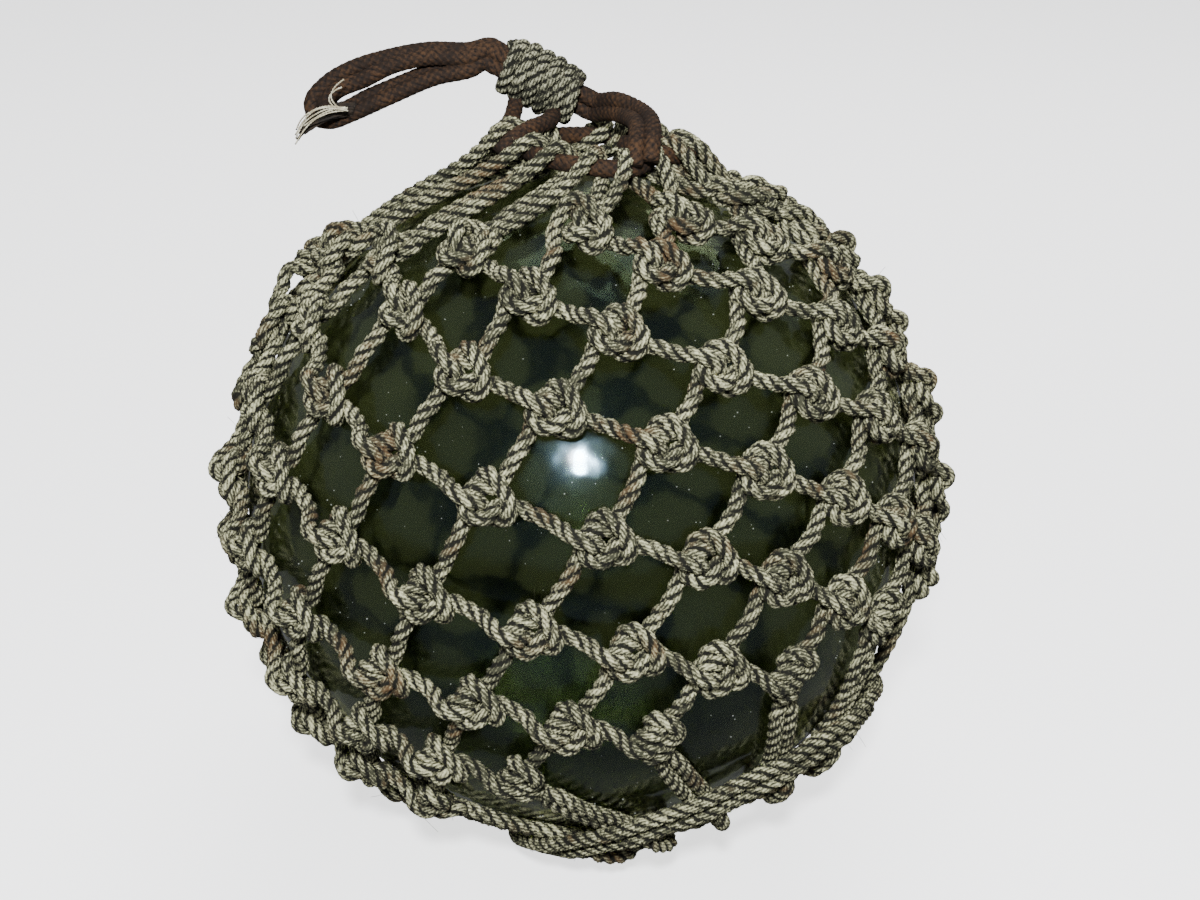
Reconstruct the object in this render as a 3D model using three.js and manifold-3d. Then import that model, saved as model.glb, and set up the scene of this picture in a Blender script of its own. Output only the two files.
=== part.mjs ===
// Glass fishing float in a knotted rope net, with a lashed carrying loop of braided cord.
// Millimetres, +Z up. The ball's centre is the origin of the working frame; the whole float is
// moved at the end so that it stands on z = 0 with its body centred over the origin.
import * as THREE from "three";
import Module from "manifold-3d";
import { mergeVertices } from "three/addons/utils/BufferGeometryUtils.js";

const wasm = await Module();
wasm.setup();

const V = (x, y, z) => new THREE.Vector3(x, y, z);
const rad = THREE.MathUtils.degToRad;

// ---- sizes -------------------------------------------------------------------------------
const GLASS_R = 150; // blown glass ball, a 12 inch float
const ROPE_R = 4.1; // three-strand net rope
const CORD_R = 4.0; // braided cord of the carrying loop
const STAND = 158.6; // height of the ball's centre over the ground, the foot is cut flat there

// ---- the net: a diamond mesh whose rows lean over from the top gather to the closing ring --
const MESHES_ROUND = 14;
const FIRST_ROW = -3;
const LAST_ROW = 6;
const LOW_AXIS = V(-0.452, 0.36, 0.9355); // axis of the lowest rows
const TOP_AXIS = V(-0.05, 0.182, 1.018); // axis of the top rows
const AXIS_FADE = 77.7; // colatitude, degrees, over which one axis turns into the other
const FRONT = V(0, -0.9063, 0.4226); // columns are counted from this side
const ROW_ZERO = 69.86; // colatitude of row 0, degrees
const ROW_STEP = 10.262;
const ROW_CLOSING = -0.207; // rows lie closer together further down
const TWIST = [-0.563, 0.726, -0.255]; // turn of row s, degrees: constant, per row, per row squared
const SLACK_TURN = 1.1; // unevenness of the hand-made mesh, degrees
const GATHER = V(0.075, 0.056, 0.995).normalize(); // where the cord draws the top meshes in
const GATHER_ANGLE = 13; // half angle of that ring, degrees
const GATHER_TUBE = 5.8;
const CLOSING = V(0.41, -0.3266, -0.852).normalize(); // where the closing rope draws the net in
const CLOSING_ANGLE = 24;
const CLOSING_TUBE = 5.6;

// ---- one knot -------------------------------------------------------------------------------
const KNOT_RADIUS = GLASS_R + 8.4; // distance of a knot's middle from the ball's centre
const KNOT_HALF_THICK = 7.8;
const KNOT_PORT = 12.5; // where a leg leaves the knot
const KNOT_BULGE = 15.5; // half width of the knot along its row
const LEG_HALF = 3.7; // half section of a leg

// A repeatable number between -1 and 1 for mesh (row, column).
function uneven(row, column, salt) {
  const wave = Math.sin(row * 3.17 + column * 1.93 + salt * 5.71) * 97.3;
  return 2 * (wave - Math.floor(wave)) - 1;
}

// The net's axis at a colatitude in degrees.
function axisAt(theta) {
  const share = Math.exp(-((theta / AXIS_FADE) ** 2));
  return LOW_AXIS.clone().lerp(TOP_AXIS, share).normalize();
}

// Unit vector from the ball's centre at colatitude theta and turn phi, degrees, about an axis.
function onAxis(axis, theta, phi) {
  const right = axis.clone().cross(FRONT).normalize();
  const near = right.clone().cross(axis);
  return axis
    .clone()
    .multiplyScalar(Math.cos(rad(theta)))
    .addScaledVector(right, Math.sin(rad(theta)) * Math.sin(rad(phi)))
    .addScaledVector(near, Math.sin(rad(theta)) * Math.cos(rad(phi)));
}

// Direction of the knot in row s at half-column h: h has the parity of s, 0 .. 2 * MESHES_ROUND.
function knotDirection(s, h) {
  const column = ((h % (2 * MESHES_ROUND)) + 2 * MESHES_ROUND) % (2 * MESHES_ROUND);
  const theta =
    ROW_ZERO + ROW_STEP * s + ROW_CLOSING * s * s + SLACK_TURN * uneven(s, column, 1);
  const phi =
    TWIST[0] + TWIST[1] * s + TWIST[2] * s * s + (h * 180) / MESHES_ROUND +
    (SLACK_TURN * uneven(s, column, 2)) / Math.sin(rad(theta));
  return onAxis(axisAt(theta), theta, phi);
}

const knotCentre = (s, h) => knotDirection(s, h).multiplyScalar(KNOT_RADIUS);

// A growing closed mesh.
class Skin {
  constructor() {
    this.points = [];
    this.faces = [];
  }
  add(p) {
    this.points.push(p.x, p.y, p.z);
    return this.points.length / 3 - 1;
  }
  quad(a, b, c, d) {
    this.faces.push(a, b, c, a, c, d);
  }
  // Joins two sections that face each other; both are listed the same way round.
  bridge(from, to) {
    for (let i = 0; i < 3; i++) {
      const j = (i + 1) % 3;
      this.quad(from[i], from[j], to[j], to[i]);
    }
  }
  solid() {
    return new wasm.Manifold(
      new wasm.Mesh({
        numProp: 3,
        vertProperties: new Float32Array(this.points),
        triVerts: new Uint32Array(this.faces),
      }),
    );
  }
}

// Three corners of a leg's section at a point: outer left, outer right and inner, seen along
// the way it runs. Its flat side faces out.
function section(skin, centre, along, half) {
  const out = centre.clone().normalize();
  const dir = along.clone().normalize();
  const up = out.addScaledVector(dir, -out.dot(dir)).normalize();
  const side = dir.clone().cross(up);
  const corner = (l, u) =>
    skin.add(centre.clone().addScaledVector(side, l * half).addScaledVector(up, u * half));
  return [corner(-1.14, 1), corner(1.14, 1), corner(0, -1)];
}

// A knot: a flattened pillow with four mouths, one for each leg. Its legs are named in
// order round it, seen from outside: right down, right up, left up, left down.
function addKnot(skin, centre, ends) {
  const out = centre.clone().normalize();
  const mouths = ends.map((end) => {
    const dir = end.clone().sub(centre);
    dir.addScaledVector(out, -dir.dot(out)).normalize();
    const at = centre.clone().addScaledVector(dir, KNOT_PORT).addScaledVector(out, -1.1);
    return section(skin, at, dir, LEG_HALF);
  });
  const top = skin.add(centre.clone().addScaledVector(out, KNOT_HALF_THICK));
  const under = skin.add(centre.clone().addScaledVector(out, -KNOT_HALF_THICK));
  const across = ends[0].clone().add(ends[1]).sub(ends[2]).sub(ends[3]);
  across.addScaledVector(out, -across.dot(out)).normalize();
  const bulge = [1, -1].map((way) =>
    skin.add(centre.clone().addScaledVector(across, way * KNOT_BULGE).addScaledVector(out, 0.6)),
  );
  mouths.forEach(([left, right, inner], i) => {
    // Going round from right down to right up and on, the next mouth lies on this one's left.
    const [, nextRight, nextInner] = mouths[(i + 1) % 4];
    skin.faces.push(top, right, left, top, left, nextRight, under, nextInner, inner);
    if (i % 2 === 0) {
      const b = bulge[i / 2];
      skin.faces.push(b, nextRight, left, b, inner, nextInner, b, left, inner);
      skin.faces.push(b, nextInner, nextRight);
    } else {
      skin.quad(left, inner, nextInner, nextRight);
    }
  });
  return mouths;
}

// A leg that follows the ball from a knot's mouth to a ring, closed at its far end.
function addLongLeg(skin, mouth, start, finish, steps) {
  let last = mouth;
  const from = start.clone().normalize();
  const to = finish.clone().normalize();
  const angle = from.angleTo(to);
  const spin = new THREE.Quaternion().setFromAxisAngle(
    from.clone().cross(to).normalize(),
    angle / steps,
  );
  const at = from.clone();
  for (let i = 1; i <= steps; i++) {
    const before = at.clone();
    at.applyQuaternion(spin);
    const ahead = at.clone().applyQuaternion(spin).sub(before);
    const reach = THREE.MathUtils.lerp(start.length(), finish.length(), i / steps);
    const here = section(skin, at.clone().multiplyScalar(reach), ahead, LEG_HALF);
    skin.bridge(last, here);
    last = here;
  }
  skin.faces.push(...last);
}

// A ring of rope on the ball: a circle at a half angle about an axis.
function ringOnBall(axis, angle, tube, reach) {
  const geometry = new THREE.TorusGeometry(reach * Math.sin(rad(angle)), tube, 6, 24);
  geometry.applyQuaternion(new THREE.Quaternion().setFromUnitVectors(V(0, 0, 1), axis));
  const middle = axis.clone().multiplyScalar(reach * Math.cos(rad(angle)));
  return geometry.translate(middle.x, middle.y, middle.z);
}

function toManifold(geometry) {
  const plain = geometry.clone();
  plain.deleteAttribute("normal");
  plain.deleteAttribute("uv");
  const merged = mergeVertices(plain, 1e-4);
  return new wasm.Manifold(
    new wasm.Mesh({
      numProp: 3,
      vertProperties: new Float32Array(merged.attributes.position.array),
      triVerts: new Uint32Array(merged.index.array),
    }),
  );
}

function toGeometry(solid) {
  const mesh = solid.getMesh();
  const geometry = new THREE.BufferGeometry();
  const flat = new Float32Array(mesh.numVert * 3);
  for (let i = 0; i < mesh.numVert; i++)
    flat.set(mesh.vertProperties.subarray(i * mesh.numProp, i * mesh.numProp + 3), i * 3);
  geometry.setAttribute("position", new THREE.BufferAttribute(flat, 3));
  geometry.setIndex(new THREE.BufferAttribute(mesh.triVerts, 1));
  geometry.computeVertexNormals();
  return geometry;
}

// The whole net: knots, the legs between them, the drawn-in meshes and the two rings.
function netSolid() {
  const skin = new Skin();
  const mouths = new Map();
  const key = (s, h) => s + ":" + ((h + 4 * MESHES_ROUND) % (2 * MESHES_ROUND));
  for (let s = FIRST_ROW; s <= LAST_ROW; s++)
    for (let h = Math.abs(s) % 2; h < 2 * MESHES_ROUND; h += 2) {
      const ends = [
        knotCentre(s + 1, h + 1),
        knotCentre(s - 1, h + 1),
        knotCentre(s - 1, h - 1),
        knotCentre(s + 1, h - 1),
      ];
      const centre = knotCentre(s, h);
      mouths.set(key(s, h), addKnot(skin, centre, ends));
    }
  const REACH = GLASS_R + ROPE_R + 1;
  for (let s = FIRST_ROW; s <= LAST_ROW; s++)
    for (let h = Math.abs(s) % 2; h < 2 * MESHES_ROUND; h += 2) {
      const mine = mouths.get(key(s, h));
      if (s < LAST_ROW) {
        const rightward = mouths.get(key(s + 1, h + 1))[2];
        const leftward = mouths.get(key(s + 1, h - 1))[1];
        // The far mouth faces back, so its corners are read mirrored.
        skin.bridge(mine[0], [rightward[1], rightward[0], rightward[2]]);
        skin.bridge(mine[3], [leftward[1], leftward[0], leftward[2]]);
      }
      const centre = knotCentre(s, h);
      const turn = (h * 180) / MESHES_ROUND;
      if (s === LAST_ROW)
        [[0, 1], [3, -1]].forEach(([m, way]) => {
          const start = centreOf(skin, mine[m]);
          const end = onAxis(CLOSING.clone().negate(), 180 - CLOSING_ANGLE,
            turn + TWIST[0] + TWIST[1] * s + TWIST[2] * s * s + way * 3.2);
          addLongLeg(skin, mine[m], start, end.multiplyScalar(REACH), 3);
        });
      if (s === FIRST_ROW)
        [[1, 1], [2, -1]].forEach(([m, way]) => {
          const start = centreOf(skin, mine[m]);
          const end = onAxis(GATHER, GATHER_ANGLE,
            turn + TWIST[0] + TWIST[1] * s + TWIST[2] * s * s + way * 8);
          addLongLeg(skin, mine[m], start, end.multiplyScalar(REACH + 1), 3);
        });
    }
  let net = skin.solid();
  const reach = GLASS_R + 0.5;
  net = net.add(toManifold(ringOnBall(GATHER, GATHER_ANGLE, GATHER_TUBE, reach + GATHER_TUBE)));
  net = net.add(toManifold(ringOnBall(CLOSING, CLOSING_ANGLE, CLOSING_TUBE, reach + CLOSING_TUBE)));
  const ground = new THREE.BoxGeometry(500, 500, 60).translate(0, 0, -STAND - 30);
  // Where two ropes just graze, a crumb can come loose: the net is the one large body.
  const bodies = net.subtract(toManifold(ground)).decompose();
  return bodies.sort((a, b) => b.volume() - a.volume())[0];
}

function centreOf(skin, corners) {
  const c = V(0, 0, 0);
  corners.forEach((i) =>
    c.add(V(skin.points[3 * i], skin.points[3 * i + 1], skin.points[3 * i + 2])),
  );
  return c.divideScalar(corners.length);
}

// ---- the carrying loop: two braided cords side by side, from the gather, through the lashing --
const LASHING_RIGHT = V(3.5, 36.5, 176);
const LASHING_LEFT = V(-32.5, 41.3, 185.5);
const LASHING_R = 15.4;
const FACE_GAP = 0.6;

// The part of a vector that is square to an axis.
const square = (v, axis) => v.clone().addScaledVector(axis, -v.dot(axis));

// One cord along its run, on a smooth curve.
function cordTube(points, steps, radius = CORD_R, sides = 8) {
  const shape = new THREE.Shape();
  for (let i = 0; i < sides; i++) {
    const a = (2 * Math.PI * i) / sides;
    shape[i ? "lineTo" : "moveTo"](radius * Math.cos(a), radius * Math.sin(a));
  }
  shape.closePath();
  const path = new THREE.CatmullRomCurve3(points, false, "centripetal");
  return new THREE.ExtrudeGeometry(shape, { steps, bevelEnabled: false, extrudePath: path });
}

// The loop lies in a nearly upright plane; its outline is an upper band that arches out and
// droops, a tight fold, and a lower band that comes back. Both cords share it, one behind the
// other. ACROSS is the step from one cord to its neighbour.
const ACROSS = V(1.5, 7.9, -4.5);
const LOOP_FOLD = V(-117, 35, 167);

function loopPoints(way) {
  const axis = LASHING_LEFT.clone().sub(LASHING_RIGHT).normalize();
  const shift = square(ACROSS, axis).multiplyScalar(way * 0.5);
  const leave = LASHING_LEFT.clone().addScaledVector(axis, FACE_GAP);
  const up = square(V(0, 0.3, 0.95), axis).normalize();
  const points = [
    leave.clone().addScaledVector(up, 5),
    leave.clone().addScaledVector(axis, 3).addScaledVector(up, 5),
    leave.clone().addScaledVector(axis, 12).addScaledVector(up, 6.0),
  ];
  const spanX = LOOP_FOLD.x - LASHING_LEFT.x;
  for (const [along, rise] of [[0.33, 7.2], [0.5, 5.2], [0.66, 1.5], [0.8, -3.2], [0.91, -9]])
    points.push(
      V(LASHING_LEFT.x + spanX * along, LASHING_LEFT.y - 0.2 * rise, LASHING_LEFT.z + rise),
    );
  points.push(V(LOOP_FOLD.x, LOOP_FOLD.y + 2, LOOP_FOLD.z));
  for (const [along, rise] of [[0.93, -19.5], [0.8, -16.3], [0.62, -11.6], [0.42, -6.8]])
    points.push(
      V(LASHING_LEFT.x + spanX * along, LASHING_LEFT.y - 0.2 * rise - 4, LASHING_LEFT.z + rise),
    );
  for (const out of [10, 3, 0])
    points.push(leave.clone().addScaledVector(axis, out).addScaledVector(up, -4.6));
  return points.map((p) => p.add(shift));
}

// From the right of the gather up into the lashing.
function risePoints(way) {
  const axis = LASHING_LEFT.clone().sub(LASHING_RIGHT).normalize();
  const end = LASHING_RIGHT.clone().addScaledVector(axis, -FACE_GAP);
  const side = square(V(0.5, -0.35, 0.8), axis).normalize().multiplyScalar(way * 4.6);
  return [
    V(24, 5, 163.5).add(side.clone().multiplyScalar(0.95)),
    V(25, 14, 171).add(side),
    V(18, 27, 174).add(side),
    end.clone().addScaledVector(axis, -7).add(side),
    end.clone().addScaledVector(axis, -2).add(side),
    end.clone().add(side),
  ];
}

// From the lashing's left underside down to the left of the gather.
function underPoints(way) {
  const down = V(0, -0.2, -1).normalize();
  const from = LASHING_LEFT.clone().lerp(LASHING_RIGHT, way > 0 ? 0.3 : 0.06);
  const start = from.addScaledVector(down, LASHING_R + CORD_R + (way > 0 ? 3.3 : 1.8));
  const foot = way > 0 ? V(-11, 20, 172.6) : V(-29, 26, 165);
  return [start, start.clone().lerp(foot, 0.5).add(V(way * 1.5, -1, 0)), foot];
}

function lashingGeometry() {
  const axis = LASHING_LEFT.clone().sub(LASHING_RIGHT);
  const length = axis.length();
  const turns = 6;
  const profile = [new THREE.Vector2(0, 0), new THREE.Vector2(LASHING_R - 4, 0)];
  for (let i = 0; i < turns; i++) {
    const belly = 1 - 0.08 * Math.abs(i - 2.5);
    profile.push(
      new THREE.Vector2(LASHING_R * belly, ((i + 0.5) * length) / turns),
    );
    if (i < turns - 1)
      profile.push(new THREE.Vector2(LASHING_R * belly - 2.4, ((i + 1) * length) / turns));
  }
  profile.push(new THREE.Vector2(LASHING_R - 4, length), new THREE.Vector2(0, length));
  const geometry = new THREE.LatheGeometry(profile, 12);
  geometry.applyQuaternion(
    new THREE.Quaternion().setFromUnitVectors(V(0, 1, 0), axis.clone().normalize()),
  );
  return geometry.translate(LASHING_RIGHT.x, LASHING_RIGHT.y, LASHING_RIGHT.z);
}

// The frayed end that sticks out at the loop's fold.
function frayedPoints() {
  return [V(-101, 22.5, 165), V(-109, 20.5, 161.5), V(-117, 19, 157), V(-124, 18, 150.5)];
}

// ---- assembly ---------------------------------------------------------------------------------
function named(name, geometry, colour, roughness, metalness = 0) {
  const material = new THREE.MeshStandardMaterial({ color: colour, roughness, metalness });
  const mesh = new THREE.Mesh(geometry, material);
  mesh.name = name;
  return mesh;
}

const float = new THREE.Group();
float.name = "glass_float";

const ball = new THREE.SphereGeometry(GLASS_R, 28, 14).rotateX(Math.PI / 2);
const glass = named("glass_ball", ball, 0x26302a, 0.08);
glass.material.transparent = true;
glass.material.opacity = 0.6;
const net = named("net", toGeometry(netSolid()), 0x7d7f6b, 0.9);
const carrying = new THREE.Group();
carrying.name = "carrying_loop";
carrying.add(
  named("lashing", lashingGeometry(), 0x85866f, 0.9),
  named("cord_loop_back", cordTube(loopPoints(1), 18), 0x4a2f22, 0.85),
  named("cord_loop_front", cordTube(loopPoints(-1), 18), 0x50342a, 0.85),
  named("cord_rise_back", cordTube(risePoints(-1), 5), 0x5a3826, 0.85),
  named("cord_rise_front", cordTube(risePoints(1), 5), 0x5a3826, 0.85),
  named("cord_under_left", cordTube(underPoints(-1), 2), 0x33221b, 0.85),
  named("cord_under_right", cordTube(underPoints(1), 2), 0x33221b, 0.85),
  named("frayed_end", cordTube(frayedPoints(), 3, 3.2), 0x6f6a58, 0.9),
);
float.add(glass, net, carrying);

// Stand it on the ground, with the net's outline centred over the origin.
const outline = new THREE.Box3().setFromObject(net);
const middle = outline.getCenter(V(0, 0, 0));
float.position.set(-middle.x, -middle.y, STAND);

export default float;
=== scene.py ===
"""Glass fishing float: a blown glass ball in a knotted rope net, with a lashed carrying loop."""

import logging
import math
from dataclasses import dataclass, field
from enum import Enum
from typing import Callable, Optional, Sequence

import bpy
import numpy as np
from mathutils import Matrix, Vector


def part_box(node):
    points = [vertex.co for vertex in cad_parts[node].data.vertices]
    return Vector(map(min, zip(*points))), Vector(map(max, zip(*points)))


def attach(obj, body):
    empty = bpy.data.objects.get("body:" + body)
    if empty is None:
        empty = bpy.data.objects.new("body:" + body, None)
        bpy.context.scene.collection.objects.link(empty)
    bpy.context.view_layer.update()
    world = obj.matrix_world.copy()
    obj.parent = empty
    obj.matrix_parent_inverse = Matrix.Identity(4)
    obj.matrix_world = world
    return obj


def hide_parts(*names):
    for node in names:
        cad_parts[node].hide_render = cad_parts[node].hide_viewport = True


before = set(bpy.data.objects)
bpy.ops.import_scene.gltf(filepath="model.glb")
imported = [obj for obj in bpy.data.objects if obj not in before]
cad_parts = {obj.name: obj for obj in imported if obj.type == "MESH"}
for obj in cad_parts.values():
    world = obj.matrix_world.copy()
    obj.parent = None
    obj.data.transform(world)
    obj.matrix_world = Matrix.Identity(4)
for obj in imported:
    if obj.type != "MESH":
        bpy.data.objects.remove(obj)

Array = np.ndarray
Colour = tuple[float, float, float]

LOG = logging.getLogger("float")
MM = 0.001

# Millimetres, from the ball's centre. The CAD's ropes and cords are a little fuller.
GLASS_R = 150.0
ROPE_R = 3.5
CORD_R = 3.6
STAND = 158.6
FRONT = np.array([0.0, -0.9063, 0.4226])
SPAN_POINTS = 12


# ---- small geometry ------------------------------------------------------------------------------
def vec(*values: float) -> Array:
    """An array of coordinates."""
    return np.array(values, float)


def unit(v: Array) -> Array:
    """The vector at length one."""
    return v / np.linalg.norm(v)


def square(v: Array, axis: Array) -> Array:
    """The part of a vector that is square to an axis."""
    return v - axis * float(v @ axis)


def on_axis(axis: Array, theta: float, phi: float) -> Array:
    """A direction from the ball's centre.

    Args:
        axis: unit axis.
        theta: angle from the axis, degrees.
        phi: turn about the axis from the front, degrees.

    Returns:
        The unit direction.
    """
    right = unit(np.cross(axis, FRONT))
    near = np.cross(right, axis)
    t, p = math.radians(theta), math.radians(phi)
    return axis * math.cos(t) + (right * math.sin(p) + near * math.cos(p)) * math.sin(t)


def arc(start: Array, end: Array, count: int) -> Array:
    """Points from start to end on the ball, both ends with them, the reach changing evenly."""
    a, b = unit(start), unit(end)
    angle = math.acos(max(-1.0, min(1.0, float(a @ b))))
    shares = np.linspace(0, 1, count)
    if angle < 1e-6:
        return start + (end - start) * shares[:, None]
    to_a, to_b = np.sin((1 - shares) * angle)[:, None], np.sin(shares * angle)[:, None]
    ways = (to_a * a + to_b * b) / math.sin(angle)
    reach = np.linalg.norm(start) + (np.linalg.norm(end) - np.linalg.norm(start)) * shares
    return ways * reach[:, None]


def lengths(points: Array) -> Array:
    """The run along a line up to each of its points."""
    return np.concatenate([[0.0], np.cumsum(np.linalg.norm(np.diff(points, axis=0), axis=1))])


def evenly(points: Array, count: int) -> Array:
    """The same line with a number of evenly spaced points."""
    run = lengths(points)
    t = np.linspace(0, run[-1], count)
    return np.stack([np.interp(t, run, points[:, k]) for k in range(3)], 1)


def eased(points: Array, passes: int) -> Array:
    """The line with its corners rounded off, its ends kept."""
    p = points.copy()
    for _ in range(passes):
        p[1:-1] = p[1:-1] * 0.5 + (p[:-2] + p[2:]) * 0.25
    return p


def curve_through(points: Sequence[Array], step: float) -> Array:
    """A smooth curve through the points, at about the given step.

    Args:
        points: the points that it passes.
        step: distance between neighbours on the curve.

    Returns:
        The curve's points, centripetal between the given ones.
    """
    p = np.array(points, float)
    p = np.vstack([2 * p[0] - p[1], p, 2 * p[-1] - p[-2]])
    out = []
    for i in range(1, len(p) - 2):
        a, b, c, d = p[i - 1], p[i], p[i + 1], p[i + 2]
        t0 = 0.0
        t1 = t0 + math.sqrt(np.linalg.norm(b - a)) + 1e-9
        t2 = t1 + math.sqrt(np.linalg.norm(c - b)) + 1e-9
        t3 = t2 + math.sqrt(np.linalg.norm(d - c)) + 1e-9
        t = np.linspace(t1, t2, SPAN_POINTS, endpoint=False)[:, None]
        a1 = (t1 - t) / (t1 - t0) * a + (t - t0) / (t1 - t0) * b
        a2 = (t2 - t) / (t2 - t1) * b + (t - t1) / (t2 - t1) * c
        a3 = (t3 - t) / (t3 - t2) * c + (t - t2) / (t3 - t2) * d
        b1 = (t2 - t) / (t2 - t0) * a1 + (t - t0) / (t2 - t0) * a2
        b2 = (t3 - t) / (t3 - t1) * a2 + (t - t1) / (t3 - t1) * a3
        out.append((t2 - t) / (t2 - t1) * b1 + (t - t1) / (t2 - t1) * b2)
    out.append(p[-2][None])
    line = np.concatenate(out)
    return evenly(line, max(3, int(round(lengths(line)[-1] / step)) + 1))


@dataclass(frozen=True)
class Place:
    """Where the ball's centre is in the frame that everything shares."""

    centre: Vector

    @classmethod
    def from_frame(cls) -> "Place":
        """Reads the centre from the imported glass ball's box."""
        low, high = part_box("glass_ball")
        return cls((low + high) / 2)

    def metres(self, points: Array) -> Array:
        """Points in millimetres from the ball's centre, in metres in the shared frame."""
        return np.asarray(points, float) * MM + np.array(self.centre)


# ---- drawing ropes tight ---------------------------------------------------------------------------
@dataclass
class Tightener:
    """Draws batches of ropes tight while they keep off each other, off the glass and off the ground.

    Fields are in millimetres; gap is the least distance between two centrelines, clear what a rope
    keeps off the glass, and skip the number of nodes over which a rope doesn't meet itself. Each
    step pushes touching ropes apart a few times, and the last steps, from late_from on, pull less.
    """

    gap: float = 2 * ROPE_R * 0.87
    pull: float = 0.48
    late_pull: float = 0.35
    spring: float = 0.12
    steps: int = 460
    skip: int = 9
    clear: float = 0.2
    push: float = 0.225
    pushes: int = 2
    most_push: float = 1.2
    late_from: float = 0.8
    search_every: int = 6
    search_margin: float = 4.0
    lay_down: float = 0.02

    def settle(
        self,
        nodes: Array,
        cuts: Sequence[int],
        held: Array,
        ball: Array,
        limit: Optional[Callable[[Array], Array]] = None,
    ) -> Array:
        """Lets the ropes find their places.

        Args:
            nodes: (batches, nodes, 3) start positions.
            cuts: node numbers where each rope of a batch starts, and the end.
            held: (nodes,) true where a node stays in place.
            ball: (batches, 3) centre of the glass in each batch's own frame.
            limit: moves nodes out of anything else that they may not enter.

        Returns:
            The nodes where they came to rest.
        """
        x = nodes.astype(np.float32).copy()
        nodes_each = x.shape[1]
        rope = np.zeros(nodes_each, int)
        for k, (low, high) in enumerate(zip(cuts[:-1], cuts[1:])):
            rope[low:high] = k
        first, second = np.triu_indices(nodes_each, 1)
        apart = ~((rope[first] == rope[second]) & (second - first < self.skip))
        first, second = first[apart], second[apart]
        free = (~held).astype(np.float32)[None, :, None]
        centre = ball.astype(np.float32)[:, None, :]
        keep = GLASS_R + ROPE_R + self.clear
        near_a = near_b = np.zeros(0, int)
        for step in range(self.steps):
            if step % self.search_every == 0:
                near_a, near_b = self._neighbours(x, first, second)
            pull = self.pull if step < self.steps * self.late_from else self.late_pull
            x += self._tension(x, cuts, pull) * free
            flat = x.reshape(-1, 3)
            for _ in range(self.pushes):
                gap = flat[near_a] - flat[near_b]
                far = np.sqrt((gap * gap).sum(1)) + 1e-6
                hit = far < self.gap
                a, b = near_a[hit], near_b[hit]
                push = ((self.gap - far[hit]) * self.push / far[hit])[:, None] * gap[hit]
                count = len(flat)
                sums = [np.bincount(a, push[:, k], count) - np.bincount(b, push[:, k], count) for k in range(3)]
                moved = np.stack(sums, 1)
                size = np.sqrt((moved * moved).sum(1, keepdims=True))
                moved *= np.minimum(1, self.most_push / np.maximum(size, 1e-6))
                x += moved.reshape(x.shape).astype(np.float32) * free
                flat = x.reshape(-1, 3)
            out = x - centre
            reach = np.sqrt((out * out).sum(-1, keepdims=True))
            x = np.where((reach < keep) & (free > 0), centre + out / reach * keep, x)
            x[..., 2:3] -= self.lay_down * free
            if limit is not None:
                x = np.where(free > 0, limit(x), x).astype(np.float32)
        return x

    def _neighbours(self, x: Array, first: Array, second: Array) -> tuple[Array, Array]:
        """Pairs of nodes that may touch before the next search, numbered over all batches."""
        count = x.shape[1]
        a_all, b_all = [], []
        bar = (self.gap + self.search_margin) ** 2
        for k in range(len(x)):
            gap = x[k, first] - x[k, second]
            close = np.nonzero((gap * gap).sum(1) < bar)[0]
            a_all.append(first[close] + k * count)
            b_all.append(second[close] + k * count)
        return np.concatenate(a_all), np.concatenate(b_all)

    def _tension(self, x: Array, cuts: Sequence[int], pull: float) -> Array:
        """How far each node is drawn to the middle of its neighbours, less the rope's own spring."""
        move = np.zeros_like(x)
        for low, high in zip(cuts[:-1], cuts[1:]):
            y = x[:, low:high]
            bend = np.zeros_like(y)
            bend[:, 1:-1] = (y[:, :-2] + y[:, 2:]) * 0.5 - y[:, 1:-1]
            stiff = np.zeros_like(y)
            stiff[:, 2:-2] = (bend[:, 1:-3] + bend[:, 3:-1]) * 0.5 - bend[:, 2:-2]
            move[:, low:high] = pull * bend - self.spring * stiff
        return move


class Port(Enum):
    """The four ways out of a knot, as steps of row and half column to the next knot."""

    UPPER_LEFT = (-1, -1)
    LOWER_LEFT = (1, -1)
    LOWER_RIGHT = (1, 1)
    UPPER_RIGHT = (-1, 1)


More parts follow.
